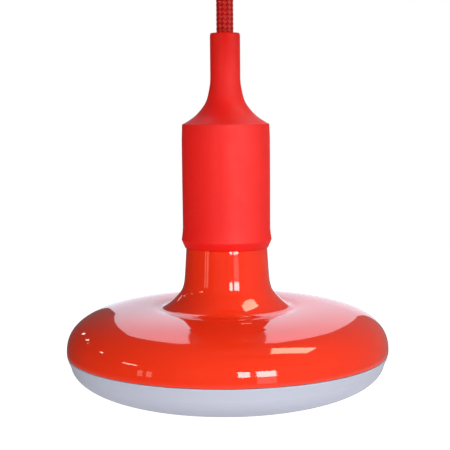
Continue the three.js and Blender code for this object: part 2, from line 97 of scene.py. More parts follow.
# ---------------------------------------------------------------- camera
CAMERA_DISTANCE = 0.5757  # in front of the cord's axis
CAMERA_DROP = 0.0394  # below the top of the holder's neck
CAMERA_PITCH = 5.86  # degrees downwards
CAMERA_ROLL = -0.5
LENS = 89.1


def make_camera():
    data = bpy.data.cameras.new("camera")
    data.lens = LENS
    data.sensor_width = 36.0
    camera = add_object("camera", data)
    place = Vector((-0.0008, -CAMERA_DISTANCE, NECK_TOP * MM - CAMERA_DROP))
    tilt = Matrix.Rotation(math.radians(90 - CAMERA_PITCH), 4, "X")
    roll = Matrix.Rotation(math.radians(CAMERA_ROLL), 4, "Z")
    camera.matrix_world = Matrix.Translation(place) @ tilt @ roll
    bpy.context.scene.camera = camera


# ---------------------------------------------------------------- material helpers
def add_node(tree, kind, **inputs):
    node = tree.nodes.new(kind)
    for name, value in inputs.items():
        node.inputs[name.replace("_", " ")].default_value = value
    return node


def coordinates(tree, stretch=(1, 1, 1)):
    """Object coordinates, in metres, stretched along X, Y and Z."""
    place = tree.nodes.new("ShaderNodeTexCoord")
    scale = add_node(tree, "ShaderNodeMapping", Scale=stretch)
    tree.links.new(place.outputs["Object"], scale.inputs["Vector"])
    return scale.outputs["Vector"]


def noise(tree, size, detail=3.0, stretch=(1, 1, 1)):
    """Noise whose features are about size millimetres across."""
    texture = add_node(tree, "ShaderNodeTexNoise", Scale=1 / (size * MM), Detail=detail)
    tree.links.new(coordinates(tree, stretch), texture.inputs["Vector"])
    return texture.outputs["Fac"]


def spread(tree, source, low, high, start=0.3, end=0.7):
    """Maps a 0 to 1 texture onto a range."""
    remap = add_node(tree, "ShaderNodeMapRange", From_Min=start, From_Max=end, To_Min=low, To_Max=high)
    tree.links.new(source, remap.inputs["Value"])
    return remap.outputs["Result"]


def mix_colours(tree, factor, first, second):
    mix = tree.nodes.new("ShaderNodeMix")
    mix.data_type = "RGBA"
    for socket, value in ((mix.inputs[6], first), (mix.inputs[7], second)):
        if isinstance(value, bpy.types.NodeSocket):
            tree.links.new(value, socket)
        else:
            socket.default_value = (*value, 1)
    tree.links.new(factor, mix.inputs[0])
    return mix.outputs[2]


def add_bump(tree, shader, height, strength, depth):
    """Adds relief of about depth millimetres on top of any relief that is there already."""
    bump = add_node(tree, "ShaderNodeBump", Strength=strength, Distance=depth * MM)
    tree.links.new(height, bump.inputs["Height"])
    old = shader.inputs["Normal"].links
    if old:
        tree.links.new(old[0].from_socket, bump.inputs["Normal"])
    tree.links.new(bump.outputs["Normal"], shader.inputs["Normal"])


def surface(name, colour, roughness, metallic=0.0, shade=0.88, patch=12.0, uneven=0.05, grain=0.4,
            relief=0.02, stretch=(1, 1, 1), **sockets):
    """A material with patchy colour, uneven roughness and fine grain. Extra sockets stay constant."""
    material = bpy.data.materials.new(name)
    material.use_nodes = True
    tree = material.node_tree
    shader = tree.nodes["Principled BSDF"]
    shader.inputs["Metallic"].default_value = metallic
    for socket, value in sockets.items():
        shader.inputs[socket.replace("_", " ")].default_value = value
    darker = tuple(channel * shade for channel in colour)
    patches = spread(tree, noise(tree, patch, stretch=stretch), 0, 1)
    tree.links.new(mix_colours(tree, patches, colour, darker), shader.inputs["Base Color"])
    rough = spread(tree, noise(tree, patch * 0.4, stretch=stretch), roughness - uneven, roughness + uneven)
    tree.links.new(rough, shader.inputs["Roughness"])
    if relief:
        add_bump(tree, shader, noise(tree, grain, 4, stretch), 0.5, relief)
    return material


def add_dust(material, cell, radius, share, colour):
    """Scatters specks of dust, at most one in each cell of the given size in millimetres."""
    tree = material.node_tree
    shader = tree.nodes["Principled BSDF"]
    cells = add_node(tree, "ShaderNodeTexVoronoi", Scale=1 / (cell * MM), Randomness=1.0)
    tree.links.new(coordinates(tree), cells.inputs["Vector"])
    near = spread(tree, cells.outputs["Distance"], 1, 0, radius / cell * 0.6, radius / cell)
    lottery = tree.nodes.new("ShaderNodeSeparateColor")
    tree.links.new(cells.outputs["Color"], lottery.inputs["Color"])
    drawn = add_node(tree, "ShaderNodeMath")
    drawn.operation = "LESS_THAN"
    drawn.inputs[1].default_value = share
    tree.links.new(lottery.outputs["Red"], drawn.inputs[0])
    both = tree.nodes.new("ShaderNodeMath")
    both.operation = "MULTIPLY"
    tree.links.new(near, both.inputs[0])
    tree.links.new(drawn.outputs["Value"], both.inputs[1])
    below = shader.inputs["Base Color"].links[0].from_socket
    tree.links.new(mix_colours(tree, both.outputs["Value"], below, colour), shader.inputs["Base Color"])


def plastic(name, colour, roughness=0.38, **sockets):
    return surface(name, colour, roughness, shade=0.9, patch=8, uneven=0.07, grain=0.5, relief=0.01,
                   **sockets)


def metal(name, colour, roughness=0.32, patch=5.0, stretch=(1, 1, 1)):
    """Metal with tarnished patches and fine grain."""
    return surface(name, colour, roughness, metallic=1.0, shade=0.78, patch=patch, uneven=0.1, grain=0.35,
                   relief=0.012, stretch=stretch)


def make_materials():
    made = {}
    made["silicone"] = surface("silicone_rubber", (0.83, 0.007, 0.003), 0.60, shade=0.95, patch=18,
                               uneven=0.05, grain=0.35, relief=0.010, Specular_IOR_Level=0.42)
    add_dust(made["silicone"], 2.7, 0.15, 0.20, (0.95, 0.30, 0.24))
    add_dust(made["silicone"], 7.0, 0.22, 0.22, (1.0, 0.42, 0.34))
    made["gloss_red"] = surface("gloss_red_plastic", (0.84, 0.034, 0.008), 0.05, shade=0.97, patch=30,
                                uneven=0.008, grain=14, relief=0.0004, IOR=1.5)
    add_dust(made["gloss_red"], 7.0, 0.13, 0.12, (1.0, 0.5, 0.4))
    made["opal"] = surface("opal_polycarbonate", (0.485, 0.50, 0.585), 0.45, shade=0.98, patch=25,
                           uneven=0.05, grain=0.5, relief=0.006, Specular_IOR_Level=0.3)
    made["cup_red"] = surface("satin_red_plastic", (0.70, 0.022, 0.010), 0.34, shade=0.93, patch=14,
                              uneven=0.06, grain=0.6, relief=0.012)
    made["textile"] = surface("braided_rayon", (0.62, 0.010, 0.005), 0.30, shade=0.86, patch=5,
                              uneven=0.05, grain=0.3, relief=0.004, Specular_IOR_Level=0.9)
    # painted shade: the same yarn, darker and duller, for the strands of one hand, which lie crosswise to the
    # light
    made["textile_cross"] = surface("braided_rayon_painted_shade", (0.46, 0.005, 0.002), 0.6, shade=0.86, patch=5,
                                    uneven=0.05, grain=0.3, relief=0.006, Specular_IOR_Level=0.1)
    made["black_plastic"] = plastic("black_bakelite", (0.016, 0.016, 0.018))
    made["white_plastic"] = plastic("white_polyamide", (0.72, 0.72, 0.68), 0.45)
    made["ceramic"] = surface("glazed_ceramic", (0.78, 0.75, 0.66), 0.2, shade=0.93, patch=5, uneven=0.06,
                              grain=1.2, relief=0.015)
    made["zinc_steel"] = metal("zinc_plated_steel", (0.60, 0.62, 0.65), 0.34)
    made["brass"] = metal("brass", (0.72, 0.50, 0.20), 0.28)
    made["nickel_shell"] = metal("nickel_plated_brass", (0.68, 0.65, 0.58), 0.24, 7)
    made["aluminium"] = metal("spun_aluminium", (0.72, 0.73, 0.75), 0.38, 9)
    made["white_board"] = plastic("white_solder_mask", (0.80, 0.82, 0.82), 0.42)
    made["green_board"] = plastic("green_solder_mask", (0.012, 0.13, 0.04), 0.33)
    made["led_yellow"] = surface("led_phosphor", (0.80, 0.62, 0.08), 0.3, shade=0.85, patch=0.8, uneven=0.05,
                                 grain=0.15, relief=0.01)
    made["capacitor_sleeve"] = plastic("capacitor_sleeve", (0.016, 0.028, 0.11), 0.3)
    made["ferrite"] = surface("wound_ferrite", (0.034, 0.032, 0.028), 0.62, shade=0.7, patch=3, uneven=0.1,
                              grain=0.4, relief=0.03)
    made["brown_pvc"] = plastic("brown_pvc", (0.14, 0.045, 0.014), 0.42)
    made["blue_pvc"] = plastic("blue_pvc", (0.016, 0.09, 0.39), 0.42)
    made["red_pvc"] = plastic("red_pvc", (0.55, 0.016, 0.008), 0.42)
    return made


# ---------------------------------------------------------------- mesh helpers
def soften(obj, radius):
    """Rounds an object's sharp edges to a radius in millimetres."""
    bevel = obj.modifiers.new("rounded_edges", "BEVEL")
    bevel.width = radius * MM
    bevel.segments = 2
    bevel.limit_method = "ANGLE"
    bevel.angle_limit = math.radians(40)
    bevel.harden_normals = True


def closed_mesh(name, vertices, faces):
    """A mesh whose faces all look outwards."""
    mesh = bpy.data.meshes.new(name)
    mesh.from_pydata([tuple(v) for v in vertices], [], faces)
    shape = bmesh.new()
    shape.from_mesh(mesh)
    bmesh.ops.recalc_face_normals(shape, faces=shape.faces)
    shape.to_mesh(mesh)
    shape.free()
    return mesh


def piece(name, vertices, faces, material, body, nodes=(), crease=32.0, round_edges=0.0):
    """Makes a mesh, shades it smooth up to its creases and puts it on its body."""
    mesh = closed_mesh(name, vertices, faces)
    mesh.shade_smooth()
    mesh.set_sharp_from_angle(angle=math.radians(crease))
    mesh.materials.append(materials[material])
    obj = add_object(name, mesh)
    if round_edges:
        soften(obj, round_edges)
    if body:
        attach(obj, body)
    if nodes:
        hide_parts(*nodes)
    return obj


def turned(profile, sides, height=0.0):
    """Vertices in metres and faces of a solid of revolution. Its outline closes on itself or on the axis."""
    on_axis = profile[0][0] == 0 and profile[-1][0] == 0
    vertices = []
    rings = []
    for radius, z in profile:
        start = len(vertices)
        count = 1 if radius == 0 else sides
        for i in range(count):
            angle = 2 * math.pi * i / sides
            vertices.append((radius * MM * math.cos(angle), radius * MM * math.sin(angle), (z + height) * MM))
        rings.append([start + i % count for i in range(sides)])
    pairs = list(zip(rings, rings[1:]))
    if not on_axis:
        pairs.append((rings[-1], rings[0]))
    faces = []
    for first, second in pairs:
        for i in range(sides):
            j = (i + 1) % sides
            corners = [first[i], first[j], second[j], second[i]]
            kept = [c for k, c in enumerate(corners) if c not in corners[:k]]
            if len(kept) > 2:
                faces.append(kept)
    return vertices, faces


def rounded(points, steps=4):
    """Replaces each [radius, z, fillet] point by an arc; points without a fillet stay."""
    result = []
    for i, point in enumerate(points):
        if len(point) < 3:
            result.append(list(point))
            continue
        here = Vector(point[:2])
        before = (Vector(points[i - 1][:2]) - here).normalized()
        after = (Vector(points[(i + 1) % len(points)][:2]) - here).normalized()
        half = before.angle(after) / 2
        reach = point[2] / math.tan(half)
        centre = here + (before + after).normalized() * (point[2] / math.sin(half))
        first = here + before * reach - centre
        second = here + after * reach - centre
        turn = first.angle(second)
        for step in range(steps + 1):
            t = step / steps
            blend = (first * math.sin((1 - t) * turn) + second * math.sin(t * turn)) / math.sin(turn)
            result.append(list(centre + blend))
    return result


def smooth(points, per_span=8):
    """A Catmull-Rom curve through [radius, z] points."""
    ends = [2 * np.array(points[0]) - np.array(points[1]), 2 * np.array(points[-1]) - np.array(points[-2])]
    p = [ends[0], *map(np.array, points), ends[1]]
    curve = []
    for i in range(1, len(p) - 2):
        for step in range(per_span):
            t = step / per_span
            curve.append(0.5 * (2 * p[i] + (p[i + 1] - p[i - 1]) * t
                                + (2 * p[i - 1] - 5 * p[i] + 4 * p[i + 1] - p[i + 2]) * t ** 2
                                + (3 * p[i] - p[i - 1] - 3 * p[i + 1] + p[i + 2]) * t ** 3))
    curve.append(p[-2])
    return [list(map(float, q)) for q in curve]


def quarter_rim(centre_r, base, width, height, power, steps):
    """A quarter of a superellipse, from its crest to its widest point."""
    points = []
    for i in range(steps + 1):
        angle = i / steps * math.pi / 2
        rise = max(math.cos(angle), 0) ** (2 / power) if i < steps else 0
        points.append([centre_r + width * math.sin(angle) ** (2 / power), base + height * rise])
    return points


def lathe(name, profile, sides, height, material, body, nodes=(), crease=32.0):
    vertices, faces = turned(profile, sides, height)
    return piece(name, vertices, faces, material, body, nodes, crease)


def between(shape, start, end):
    """Moves a shape built along Z, base at zero, so that its base is at start and it points at end, in mm."""
    start, end = Vector(start) * MM, Vector(end) * MM
    turn = (end - start).to_track_quat("Z", "Y").to_matrix()
    vertices, faces = shape
    return [turn @ Vector(v) + start for v in vertices], faces


def rod(radius, start, end, sides=32):
    length = (Vector(end) - Vector(start)).length
    return between(turned([[0, 0], [radius, 0], [radius, length], [0, length]], sides), start, end)


def block(low, high):
    """A box between two corners in millimetres."""
    corners = [(x * MM, y * MM, z * MM) for z in (low[2], high[2]) for y in (low[1], high[1])
               for x in (low[0], high[0])]
    return corners, [[0, 2, 3, 1], [4, 5, 7, 6], [0, 1, 5, 4], [2, 6, 7, 3], [0, 4, 6, 2], [1, 3, 7, 5]]


def tube(points, radius, sides=16, steps=10):
    """A round tube in millimetres along a smooth curve through points."""
    path = [Vector(p) for p in smooth(points, steps)]
    side = Vector((0, 1, 0)) if abs((path[1] - path[0]).normalized().y) < 0.8 else Vector((1, 0, 0))
    vertices = []
    for i, place in enumerate(path):
        along = (path[min(i + 1, len(path) - 1)] - path[max(i - 1, 0)]).normalized()
        side = (side - along * side.dot(along)).normalized()
        other = along.cross(side)
        for k in range(sides):
            angle = 2 * math.pi * k / sides
            vertices.append((place + (side * math.cos(angle) + other * math.sin(angle)) * radius) * MM)
    faces = []
    for i in range(len(path) - 1):
        a, b = i * sides, (i + 1) * sides
        faces += [[a + k, a + (k + 1) % sides, b + (k + 1) % sides, b + k] for k in range(sides)]
    last = len(vertices) - sides
    return vertices, faces + [list(range(sides)), list(range(last, last + sides))]


def combine(base, operation, shapes):
    """Joins closed shapes to a closed base ("UNION") or cuts them out of it ("DIFFERENCE")."""
    made = [add_object("shape", closed_mesh("shape", *shape)) for shape in (base, *shapes)]
    for tool in made[1:]:
        step = made[0].modifiers.new("step", "BOOLEAN")
        step.operation = operation
        step.solver = "EXACT"
        step.object = tool
    graph = bpy.context.evaluated_depsgraph_get()
    done = bpy.data.meshes.new_from_object(made[0].evaluated_get(graph))
    result = [v.co.copy() for v in done.vertices], [list(p.vertices) for p in done.polygons]
    bpy.data.meshes.remove(done)
    for obj in made:
        mesh = obj.data
        bpy.data.objects.remove(obj)
        bpy.data.meshes.remove(mesh)
    return result


def cut(base, *shapes):
    return combine(base, "DIFFERENCE", shapes)


def fuse(base, *shapes):
    return combine(base, "UNION", shapes)


def screw(node, seat, inwards, shank_length, shank_r, head_r, head_t, body):
    """A slotted pan-head screw with a rolled thread, in place of a CAD one."""
    turns = [[shank_r * (0.98 if i % 2 else 0.82), -shank_length + 0.5 + 0.25 * i]
             for i in range(int((shank_length - 0.5) / 0.25))]
    profile = [[0, -shank_length], [shank_r * 0.6, -shank_length]] + turns + [[shank_r * 0.85, 0]] \
        + rounded([[shank_r * 0.85, 0], [head_r, 0, head_t * 0.12], [head_r, head_t * 0.62, head_t * 0.3],
                   [head_r * 0.55, head_t], [0, head_t]], 4)[1:]
    slot = block((-head_r * 1.5, -head_r * 0.17, head_t * 0.5), (head_r * 1.5, head_r * 0.17, head_t * 2))
    shape = cut(turned(profile, 40), slot)
    outwards = [a - b for a, b in zip(seat, inwards)]
    vertices, faces = between(shape, seat, outwards)
    material = SLOT_OF[node]
    return piece(node + "_fine", vertices, faces, material, body, (node,), 35)


# ---------------------------------------------------------------- the braided cord
CORD_R = 4.4
CARRIERS = 20  # strands, half of them wound each way
RISE = 2.35  # height between neighbouring strands wound the same way
CORD_TOP = -10.0
CORD_END = NECK_TOP - 5.2


def braid(top, bottom):
    """A plain braid round a core: vertices and faces of all its strands."""
    strands = CARRIERS // 2
    pitch = strands * RISE
    step = RISE / 8
    slope = math.atan2(2 * math.pi * CORD_R, pitch)
    width, thick = 1.74, 0.42  # of a strand
    wave = 0.10  # how far a strand rises and dips where it crosses others
    core_r = 3.8
    ring_gap = 1.1  # the core's rings are this close
    across = np.linspace(-1, 1, 10)
    crown = 0.13 * across ** 2 - 0.012 * np.abs(np.cos(1.5 * math.pi * across))
    section_u = np.concatenate([across, [0.8, -0.8]]) * width / 2
    section_r = np.concatenate([-crown, [-thick, -thick]])
    count = len(section_u)
    heights = np.arange(bottom, top + step / 2, step)
    core = [[core_r, z] for z in np.linspace(bottom, top, round((top - bottom) / ring_gap) + 1)]
    vertices, faces = turned([[0, bottom]] + core + [[0, top]], 32)
    vertices = [tuple(v) for v in vertices]
    for way in (-1, 1):
        if way == 1:
            first_cross = len(faces)
        for k in range(strands):
            start = len(vertices)
            for z in heights:
                angle = way * 2 * math.pi * z / pitch + 2 * math.pi * k / strands
                lift = CORD_R - wave - 0.02 + way * wave * math.cos(2 * math.pi * z / RISE)
                angles = angle + way * section_u * math.cos(slope) / CORD_R
                radii = lift + section_r
                zs = z - section_u * math.sin(slope)
                vertices += zip(radii * np.cos(angles) * MM, radii * np.sin(angles) * MM, zs * MM)
            for i in range(len(heights) - 1):
                a, b = start + i * count, start + (i + 1) * count
                faces += [[a + j, a + (j + 1) % count, b + (j + 1) % count, b + j] for j in range(count)]
            last = start + (len(heights) - 1) * count
            faces += [list(range(start, start + count)), list(range(last, last + count))]
    return vertices, faces, first_cross


def braided(name, top, bottom, body, nodes):
    """A length of braid. The strands of one hand lie crosswise to the light and get a darker, duller copy of
    the yarn's material: painted shade.
    """
    vertices, faces, first_cross = braid(top, bottom)
    cord = piece(name, vertices, faces, "textile", body, nodes, 60)
    # the second material is the painted-shade copy of the yarn, for the strands of the other hand
    cord.data.materials.append(materials["textile_cross"])
    for face in cord.data.polygons[first_cross:]:
        face.material_index = 1
    return cord


def make_cords():
    cord = braided("braided_cord", CORD_TOP, CORD_END, None, ("pendant_cord", "cord_in_cup"))
    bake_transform(cord)
    low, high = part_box("cord_in_neck")
    braided("braided_cord_in_neck", high.z / MM, low.z / MM, "holder", ("cord_in_neck",))


# ---------------------------------------------------------------- silicone cover
def make_sleeve():
    neck = [[5.8, 0], [7.35, 0, 0.3], [7.7, -1.0]]
    shoulder = smooth([[7.72, -18], [7.75, -23.6], [8.23, -27.7], [9.7, -33.8], [12.12, -38], [15.9, -42.1],
                       [20.4, -45.2], [22.2, -46.1]])
    barrel = smooth([[22.75, -54], [22.75, -75], [22.67, -96], [22.78, -101], [23.2, -104.6]])
    outside = rounded(neck, 5) + shoulder + [[22.42, -46.3], [22.52, -46.8]] + barrel
    lip = rounded([[23.2, -104.6], [23.4, -105.8, 0.35], [21.35, -110.5, 0.3], [21.15, -109.8],
                   [21.15, -103]], 5)[1:]
    inside = [[20.55, -102.4], [20.55, -50.5], [17.5, -47.6], [12.5, -43.2], [8.4, -37.6], [6.4, -33.5],
              [4.75, -31], [4.75, -4.6], [5.25, -1]]
    lathe("silicone_cover", outside + lip + inside, 192, NECK_TOP, "silicone", "holder",
          ("silicone_sleeve",), 28)


# ---------------------------------------------------------------- lamp
POST_ANGLES = [2 * math.pi * (i + 0.25) / 3 for i in range(3)]
POSTS = [(POST_RING_R * math.cos(a), POST_RING_R * math.sin(a)) for a in POST_ANGLES]


def make_housing():
    flare = smooth([[20.2, 60.2], [20.7, 57], [21.08, 53.5], [21.42, 48], [21.74, 43], [22.0, 39.5],
                    [22.27, 37], [22.65, 35], [23.3, 33], [24.5, 31], [26.15, 29.1], [28.4, 26.8],
                    [30.7, 24.95], [32.7, 23.7], [34.8, 23.1], [38, 23.42], [40, 23.57],
                    [CREST_R, CREST_H]], 8)
    rim = quarter_rim(CREST_R, WIDEST_H, SAUCER_R - CREST_R, CREST_H - WIDEST_H, RIM_POWER, 72)[1:]
    outside = rounded([[11, 79.4], [11, 60.9], [20.2, 60.9, 0.5]], 5) + flare + rim
    mouth_r = 81.5
    outside += rounded([[SAUCER_R, WIDEST_H], [83.6, 0, 0.3], [mouth_r, 0]], 4)[1:-1]
    inner_flare = smooth([[20, 38], [21.2, 33.2], [23.6, 28.6], [26.4, 25], [28.8, 22.7], [31.6, 21.2],
                          [36, 20.9], [CREST_R, 21.4]], 5)
    inner_rim = quarter_rim(CREST_R, 5, mouth_r - CREST_R, 16.4, RIM_POWER, 24)[1:]
    inside = [[mouth_r, 0]] + inner_rim[::-1] + inner_flare[::-1] + [[18, 58.9], [9.2, 58.9], [9.2, 79.4]]
    shell = turned(outside + inside, 256, SEAM)
    posts = []
    holes = []
    for x, y in POSTS:
        posts.append(rod(3.4, (x, y, SEAM + 6.1), (x, y, SEAM + 20.4)))
        holes.append(rod(1.6, (x, y, SEAM + 1), (x, y, SEAM + 15.1)))
    vertices, faces = cut(fuse(shell, *posts), *holes)
    piece("saucer_housing", vertices, faces, "gloss_red", "lamp", ("lamp_housing",), 30)


def make_diffuser():
    lip_bottom = -6.2
    outer = [[r, -GAP - h] for r, h in quarter_rim(0, 0, DOME_R, DOME_H, DOME_POWER, 72)]
    outer = [point for point in outer if point[1] < lip_bottom]
    lip = [[81.4, lip_bottom], [82.0, -4.3], [82.6, -2.8], [83.15, -1.6], [83.45, -0.6], [83.4, -0.3]]
    bore = UPSTAND_R - UPSTAND_WALL
    inner = [[r, -GAP - h] for r, h in quarter_rim(0, 0, bore, DOME_H - DOME_WALL, DOME_POWER, 40)]
    upstand = rounded([[DOME_R, -GAP], [UPSTAND_R, -GAP], [UPSTAND_R, 4, 0.3], [bore, 4, 0.3], [bore, -GAP]],
                      3)[1:-1]
    lathe("opal_dome", outer + lip + upstand + inner[::-1], 256, SEAM, "opal", "lamp", ("diffuser",), 30)


# ---------------------------------------------------------------- ceiling fitting
def make_ceiling_cup():
    hole = GLAND_R + 0.4
    corner = 9  # outer radius of the bend from wall to floor
    inner_r, inner_floor = CUP_R - CUP_WALL, CUP_FLOOR + CUP_WALL
    outside = rounded([[CUP_R, 0], [CUP_R, CUP_FLOOR, corner], [hole, CUP_FLOOR, 0.3]], 12)
    inside = rounded([[hole, inner_floor, 0.3], [inner_r, inner_floor, corner - CUP_WALL], [inner_r, 0]], 12)
    lathe("canopy_cup", outside + inside, 160, 0, "cup_red", "ceiling", ("ceiling_cup",))
    flange = CUP_FLOOR - GAP
    profile = rounded([[GLAND_R, -14, 0.4], [GLAND_R, flange], [11.5, flange, 0.3], [11.5, flange - 1.4, 0.4],
                       [8.6, flange - 2.4, 0.8], [8.6, -35.5, 4], [9.6, -38, 4], [10.6, -39.6, 0.5],
                       [10.2, -40, 0.3], [9.2, -40, 0.6], [8.1, -38.2], [6.6, -36, 1.5], [5.5, -34, 1.5],
                       [5.2, -31.5], [4.8, -29.5], [4.8, -14, 0.4]], 4)
    lathe("cord_grip", profile, 96, 0, "cup_red", "ceiling", ("cord_gland",))


def make_strap():
    """A bent strip with two slots for ceiling screws and an ear at each end."""
    half, depth, thick = 43, 14, 1.5
    plate = block((-half, -10, -thick), (half, 10, 0))
    ears = [block((min(a, b), -10, -depth), (max(a, b), 10, -thick / 2))
            for a, b in ((-half, -half + thick), (half - thick, half))]
    holes = [rod(1.9, (-50, 0, CUP_SCREW_Z), (50, 0, CUP_SCREW_Z)),
             rod(1.6, (BLOCK_FIXING_X, 0, -3), (BLOCK_FIXING_X, 0, 1))]
    for side in (-1, 1):
        near, far = sorted((side * 10, side * 17))
        slot = fuse(block((near, -2.4, -3), (far, 2.4, 1)), rod(2.4, (near, 0, -3), (near, 0, 1)),
                    rod(2.4, (far, 0, -3), (far, 0, 1)))
        holes.append(slot)
    vertices, faces = cut(fuse(plate, *ears), *holes)
    piece("bent_strap", vertices, faces, "zinc_steel", "ceiling", ("mounting_strap",), 35, 0.25)


def make_terminal_block():
    bottom, wire_z, well_x = -14.8, -9, -23
    body = block((-36, -10, bottom), (-18, 10, -1.8))
    holes = [block((well_x - 2, -1.2, bottom - 1), (-17, 1.2, -11)),
             rod(1.6, (BLOCK_FIXING_X, 0, bottom - 1), (BLOCK_FIXING_X, 0, 0))]
    for y in (-5, 5):
        holes.append(rod(1.8, (-37, y, wire_z), (-17, y, wire_z)))
        holes.append(rod(2.3, (well_x, y, wire_z), (well_x, y, bottom - 1)))
    vertices, faces = cut(body, *holes)
    piece("terminal_block_fine", vertices, faces, "white_plastic", "ceiling", ("terminal_block",), 35, 0.3)
    for number, y in ((1, -5), (2, 5)):
        screw(f"block_screw_{number}", (well_x, y, -13), (0, 0, 1), 2.2, 1.4, 2, 1.2, "ceiling")
    screw("block_fixing_screw", (BLOCK_FIXING_X, 0, bottom - GAP), (0, 0, 1), 14.4, 1.3, 2.6, 1.4, "ceiling")


def make_cup_hardware():
    seat = CUP_FLOOR + CUP_WALL + GAP
    nut_r = 11  # across its corners
    sides = [(nut_r * math.sin(math.pi * i / 3), nut_r * math.cos(math.pi * i / 3)) for i in range(6)]
    corners = [(x * MM, y * MM, z * MM) for z in (seat, seat + 4.5) for x, y in sides]
    nut = corners, [list(range(6)), list(range(6, 12))] + [[i, (i + 1) % 6, (i + 1) % 6 + 6, i + 6]
                                                          for i in range(6)]
    vertices, faces = cut(nut, rod(GLAND_R + 0.35, (0, 0, seat - 2), (0, 0, seat + 7), 64))
    piece("hexagon_nut", vertices, faces, "cup_red", "ceiling", ("gland_nut",), 35, 0.4)
    for hand, side in (("left", -1), ("right", 1)):
        place = (side * (CUP_R + GAP), 0, CUP_SCREW_Z)
        screw("cup_screw_" + hand, place, (-side, 0, 0), 8, 1.6, 3.2, 1.8, "ceiling")
    grub = cut(rod(1.4, (4.7, 0, -18), (9.4, 0, -18)), block((8.6, -2, -18.3), (10, 2, -17.7)))
    piece("grub_screw", *grub, "zinc_steel", "ceiling", ("gland_grub_screw",), 35, 0.12)
    for colour, side in (("brown", -1), ("blue", 1)):
        upper = [(0, 1.9, -9.6), (-1, 2.1, -7.4), (-5, 3.2, -5.6), (-10, 4.5, -6.2), (-14, 5, -8.4),
                 (-18, 5, -9), (-21, 5, -9)]
        shape = tube([(x, side * y, z) for x, y, z in upper], CORE_R)
        piece(f"{colour}_core_upper", *shape, colour + "_pvc", "ceiling", (colour + "_core_in_cup",))
        lower = [(1.9, 0, -50.4), (2.4, 0.2, -51.8), (5, 1, -53), (8, 1.8, -54), (9.5, 2, -56),
                 (9.5, 2, -58.3)]
        shape = tube([(side * x, y, NECK_TOP + z) for x, y, z in lower], CORE_R)
        piece(f"{colour}_core_lower", *shape, colour + "_pvc", "holder", (colour + "_core_in_holder",))


# ---------------------------------------------------------------- lampholder and cap inside the cover
PITCH = 25.4 / 7  # E27 thread
THREAD = 0.475  # half the height of its knuckles


def threaded(profile, wall_r, zone, fade, sides, height=NECK_TOP):
    """Turns a profile and rolls the thread into its points at the wall's radius."""
    vertices, faces = turned(profile, sides, height)
    low, full_low, full_high, high = (height + z for z in zone)
    shaped = []
    for x, y, z in (Vector(v) / MM for v in vertices):
        r = math.hypot(x, y)
        if abs(r - wall_r) < 0.02 and low < z < high:
            strength = min(max((z - low) / (full_low - low), 0), max((high - z) / (high - full_high), 0), 1)
            wave = math.cos(2 * math.pi * z / PITCH - math.atan2(y, x))
            shift = THREAD * (wave * strength + fade * (1 - strength))
            x, y = x * (r + shift) / r, y * (r + shift) / r
        shaped.append((x * MM, y * MM, z * MM))
    return shaped, faces


def wall(radius, start, end):
    steps = int(abs(end - start) / (PITCH / 16)) + 1
    return [[radius, start + (end - start) * i / steps] for i in range(steps + 1)]


def make_holder():
    dome = [[6.1, -35.2], [7.8, -38.2, 1], [12, -43.8, 8], [17, -48.2, 6], [20.2, -51.4, 2], [20.2, -62, 0.4],
            [18.4, -62], [18.4, -52.4], [15.8, -50.2], [11, -46.2], [7, -42.4], [5, -40], [5, -35.2]]
    lathe("holder_dome_fine", rounded(dome, 4), 96, NECK_TOP, "black_plastic", "holder", ("holder_dome",))
    barrel = [[18.05, -56.5], [18.05, -62.3], [20.2, -62.3, 0.4], [20.2, -102.6, 0.6], [14.2, -102.6, 0.4],
              [14.2, -101.2], [18.6, -101.2], [18.6, -64.3], [16.6, -64.3], [16.6, -56.5]]
    lathe("holder_barrel_fine", rounded(barrel, 4), 96, NECK_TOP, "black_plastic", "holder",
          ("holder_barrel",))
    zone = (-97.5, -96, -75.5, -73.9)
    shell_r = 13.05  # middle of its thread
    profile = [[11.5, -71.8], [14.175, -71.8], [14.175, -98.4], [13.725, -98.4]] \
        + wall(shell_r, -97.4, -74) + [[12.575, -72.6], [11.5, -72.6]]
    shape = threaded(profile, shell_r, zone, 1, 96)
    piece("screw_shell_fine", *shape, "nickel_shell", "holder", ("screw_shell",))
    for pole, side in (("live", 1), ("neutral", -1)):
        x, z = side * 9.5, NECK_TOP - 59.6
        screw(pole + "_terminal_screw", (x + side * 3.8, 2, z), (-side, 0, 0), 1.5, 1.2, 2, 1.2, "holder")


def make_cap():
    cap_r = 12.5  # middle of its thread
    profile = [[11.4, -103.1], [13.3, -103.1, 0.3], [13.3, -100.5, 0.5], [12.9, -99.9]]
    profile = rounded(profile, 4) + wall(cap_r, -99.2, -80.8) + [[11.9, -80.2], [11.4, -80.2]]
    shape = threaded(profile, cap_r, (-99.3, -97.6, -82.4, -80.7), -1, 128)
    piece("cap_shell_fine", *shape, "nickel_shell", "lamp", ("cap_shell",))
    glass = [[1.7, -84.4], [10.9, -84.4], [10.9, -79.9], [11.7, -79.9], [11.5, -79.2, 0.6], [9.5, -78.2, 3],
             [5.4, -77.5, 2], [1.7, -77.5]]
    lathe("cap_insulator_fine", rounded(glass, 4), 96, NECK_TOP, "black_plastic", "lamp", ("cap_insulator",))
    button = [[0, -76.2], [2.2, -76.3, 2], [4, -76.7, 1], [4.7, -77.2], [1.3, -77.2], [1.3, -83.5],
              [0, -83.5]]
    lathe("contact_button", rounded(button, 4), 64, NECK_TOP, "brass", "lamp_contact", ("cap_eyelet",))


